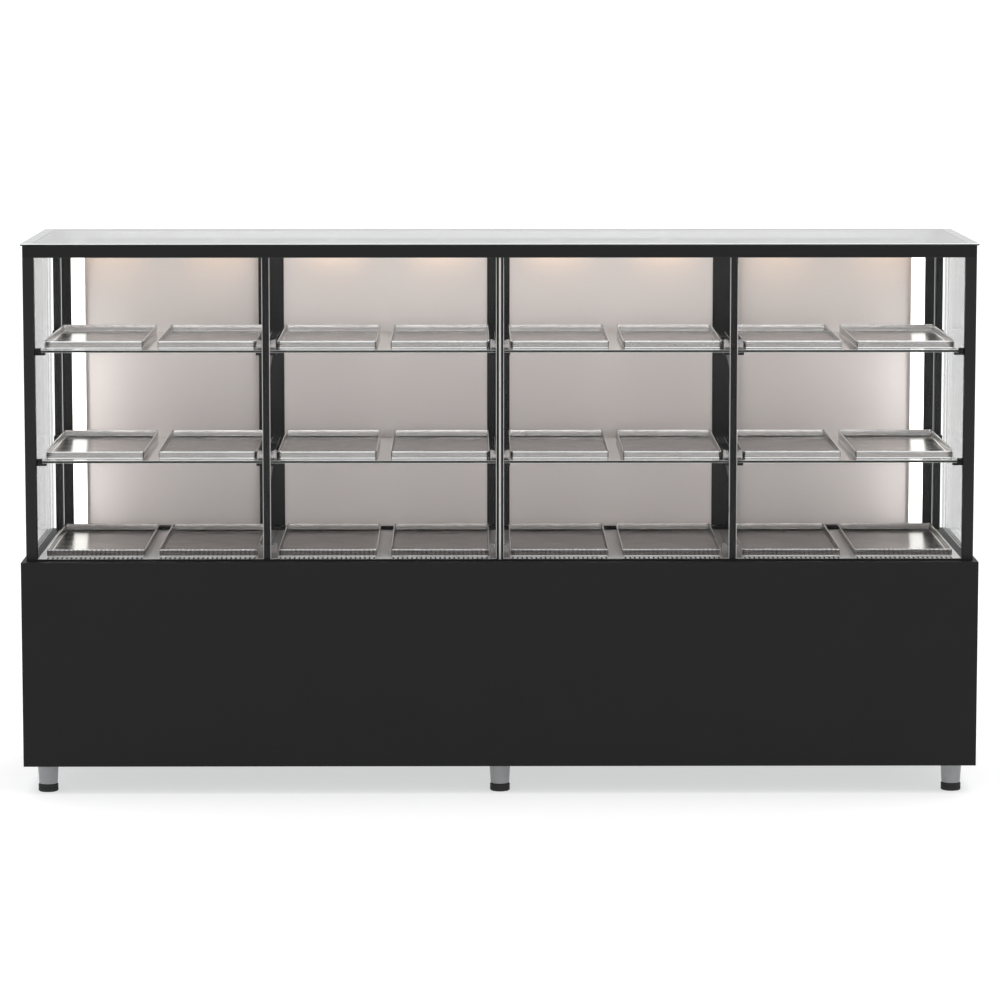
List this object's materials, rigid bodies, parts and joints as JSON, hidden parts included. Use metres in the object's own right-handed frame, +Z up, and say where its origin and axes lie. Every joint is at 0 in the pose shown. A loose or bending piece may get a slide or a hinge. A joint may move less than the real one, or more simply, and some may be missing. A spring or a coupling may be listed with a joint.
{
  "type": "glazed bakery display case",
  "caption": "Long glazed bakery display case on a black plinth: glass shelves, steel trays, slotted deck, lit interior, rear sliding doors and round levelling feet.",
  "frame": {"origin": "on the floor, under the middle of the plinth", "axes": "+X to the right seen from the customer's side, front towards -Y, +Z up"},
  "size_m": [2.2, 0.6, 1.271],
  "materials": {
    "black_sheet": "satin powder coat",
    "black_frame": "satin anodised",
    "frame_steel": "matt primer",
    "zinc_sheet": "zinc plated",
    "foot_grey": "matt",
    "rubber": "matt",
    "stainless": "brushed",
    "clear_glass": "polished",
    "clear_silicone": "satin",
    "opal_panel": "opal",
    "opal_lens": "opal, lit",
    "warm_lens": "opal, lit",
    "aluminium": "satin",
    "black_plastic": "matt",
    "switch_plastic": "gloss",
    "brass": "bright"
  },
  "bodies": {
    "case": {"base_frame": "frame_steel", "corner_lamps": "opal_lens", "corner_posts": "black_frame", "deck_panels": "stainless", "door_tracks": "black_frame", "foot_cups": "foot_grey", "foot_pads": "rubber", "front_glass": "clear_glass", "front_mullions": "black_frame", "glass_shelves": "clear_glass", "glass_sills": "black_frame", "inlet_pins": "brass", "joint_seal": "clear_silicone", "lamp_bar": "aluminium", "lamp_driver": "aluminium", "panel_screws": "zinc_sheet", "plinth_cover": "black_sheet", "plinth_floor_pan": "zinc_sheet", "plinth_rear_panels": "black_sheet", "plinth_side_panels": "black_sheet", "power_panel": "black_plastic", "shelf_brackets": "black_frame", "shelf_clips": "black_frame", "side_glass": "clear_glass", "top_glass": "clear_glass", "top_rails": "black_frame", "warm_lamps": "warm_lens"},
    "door_1": {"door_1_panel": "opal_panel", "door_1_stiles": "black_frame"},
    "door_2": {"door_2_panel": "opal_panel", "door_2_stiles": "black_frame"},
    "door_3": {"door_3_panel": "opal_panel", "door_3_stiles": "black_frame"},
    "door_4": {"door_4_panel": "opal_panel", "door_4_stiles": "black_frame"},
    "light_switch": {"light_switch": "switch_plastic"},
    "tray_upper_1": {"tray_upper_1": "stainless"},
    "tray_upper_2": {"tray_upper_2": "stainless"},
    "tray_upper_3": {"tray_upper_3": "stainless"},
    "tray_upper_4": {"tray_upper_4": "stainless"},
    "tray_upper_5": {"tray_upper_5": "stainless"},
    "tray_upper_6": {"tray_upper_6": "stainless"},
    "tray_upper_7": {"tray_upper_7": "stainless"},
    "tray_upper_8": {"tray_upper_8": "stainless"},
    "tray_middle_1": {"tray_middle_1": "stainless"},
    "tray_middle_2": {"tray_middle_2": "stainless"},
    "tray_middle_3": {"tray_middle_3": "stainless"},
    "tray_middle_4": {"tray_middle_4": "stainless"},
    "tray_middle_5": {"tray_middle_5": "stainless"},
    "tray_middle_6": {"tray_middle_6": "stainless"},
    "tray_middle_7": {"tray_middle_7": "stainless"},
    "tray_middle_8": {"tray_middle_8": "stainless"},
    "tray_lower_1": {"tray_lower_1": "stainless"},
    "tray_lower_2": {"tray_lower_2": "stainless"},
    "tray_lower_3": {"tray_lower_3": "stainless"},
    "tray_lower_4": {"tray_lower_4": "stainless"},
    "tray_lower_5": {"tray_lower_5": "stainless"},
    "tray_lower_6": {"tray_lower_6": "stainless"},
    "tray_lower_7": {"tray_lower_7": "stainless"},
    "tray_lower_8": {"tray_lower_8": "stainless"}
  },
  "joints": [
    {"name": "door_1_slide", "type": "slide", "parent": "case", "child": "door_1", "axis": [1, 0, 0], "range_m": [0, 0.5155]},
    {"name": "door_2_slide", "type": "slide", "parent": "case", "child": "door_2", "axis": [1, 0, 0], "range_m": [-0.4765, 0]},
    {"name": "door_3_slide", "type": "slide", "parent": "case", "child": "door_3", "axis": [1, 0, 0], "range_m": [0, 0.4765]},
    {"name": "door_4_slide", "type": "slide", "parent": "case", "child": "door_4", "axis": [1, 0, 0], "range_m": [-0.5155, 0]},
    {"name": "light_switch_rock", "type": "hinge", "parent": "case", "child": "light_switch", "pos_m": [0.868, 0.29, 0.33], "axis": [1, 0, 0], "range_deg": [0, 16]},
    {"name": "tray_upper_1_lift", "type": "slide", "parent": "case", "child": "tray_upper_1", "axis": [0, 0, 1], "range_m": [0, 0.12]},
    {"name": "tray_upper_2_lift", "type": "slide", "parent": "case", "child": "tray_upper_2", "axis": [0, 0, 1], "range_m": [0, 0.12]},
    {"name": "tray_upper_3_lift", "type": "slide", "parent": "case", "child": "tray_upper_3", "axis": [0, 0, 1], "range_m": [0, 0.12]},
    {"name": "tray_upper_4_lift", "type": "slide", "parent": "case", "child": "tray_upper_4", "axis": [0, 0, 1], "range_m": [0, 0.12]},
    {"name": "tray_upper_5_lift", "type": "slide", "parent": "case", "child": "tray_upper_5", "axis": [0, 0, 1], "range_m": [0, 0.12]},
    {"name": "tray_upper_6_lift", "type": "slide", "parent": "case", "child": "tray_upper_6", "axis": [0, 0, 1], "range_m": [0, 0.12]},
    {"name": "tray_upper_7_lift", "type": "slide", "parent": "case", "child": "tray_upper_7", "axis": [0, 0, 1], "range_m": [0, 0.12]},
    {"name": "tray_upper_8_lift", "type": "slide", "parent": "case", "child": "tray_upper_8", "axis": [0, 0, 1], "range_m": [0, 0.12]},
    {"name": "tray_middle_1_lift", "type": "slide", "parent": "case", "child": "tray_middle_1", "axis": [0, 0, 1], "range_m": [0, 0.12]},
    {"name": "tray_middle_2_lift", "type": "slide", "parent": "case", "child": "tray_middle_2", "axis": [0, 0, 1], "range_m": [0, 0.12]},
    {"name": "tray_middle_3_lift", "type": "slide", "parent": "case", "child": "tray_middle_3", "axis": [0, 0, 1], "range_m": [0, 0.12]},
    {"name": "tray_middle_4_lift", "type": "slide", "parent": "case", "child": "tray_middle_4", "axis": [0, 0, 1], "range_m": [0, 0.12]},
    {"name": "tray_middle_5_lift", "type": "slide", "parent": "case", "child": "tray_middle_5", "axis": [0, 0, 1], "range_m": [0, 0.12]},
    {"name": "tray_middle_6_lift", "type": "slide", "parent": "case", "child": "tray_middle_6", "axis": [0, 0, 1], "range_m": [0, 0.12]},
    {"name": "tray_middle_7_lift", "type": "slide", "parent": "case", "child": "tray_middle_7", "axis": [0, 0, 1], "range_m": [0, 0.12]},
    {"name": "tray_middle_8_lift", "type": "slide", "parent": "case", "child": "tray_middle_8", "axis": [0, 0, 1], "range_m": [0, 0.12]},
    {"name": "tray_lower_1_lift", "type": "slide", "parent": "case", "child": "tray_lower_1", "axis": [0, 0, 1], "range_m": [0, 0.12]},
    {"name": "tray_lower_2_lift", "type": "slide", "parent": "case", "child": "tray_lower_2", "axis": [0, 0, 1], "range_m": [0, 0.12]},
    {"name": "tray_lower_3_lift", "type": "slide", "parent": "case", "child": "tray_lower_3", "axis": [0, 0, 1], "range_m": [0, 0.12]},
    {"name": "tray_lower_4_lift", "type": "slide", "parent": "case", "child": "tray_lower_4", "axis": [0, 0, 1], "range_m": [0, 0.12]},
    {"name": "tray_lower_5_lift", "type": "slide", "parent": "case", "child": "tray_lower_5", "axis": [0, 0, 1], "range_m": [0, 0.12]},
    {"name": "tray_lower_6_lift", "type": "slide", "parent": "case", "child": "tray_lower_6", "axis": [0, 0, 1], "range_m": [0, 0.12]},
    {"name": "tray_lower_7_lift", "type": "slide", "parent": "case", "child": "tray_lower_7", "axis": [0, 0, 1], "range_m": [0, 0.12]},
    {"name": "tray_lower_8_lift", "type": "slide", "parent": "case", "child": "tray_lower_8", "axis": [0, 0, 1], "range_m": [0, 0.12]}
  ]
}
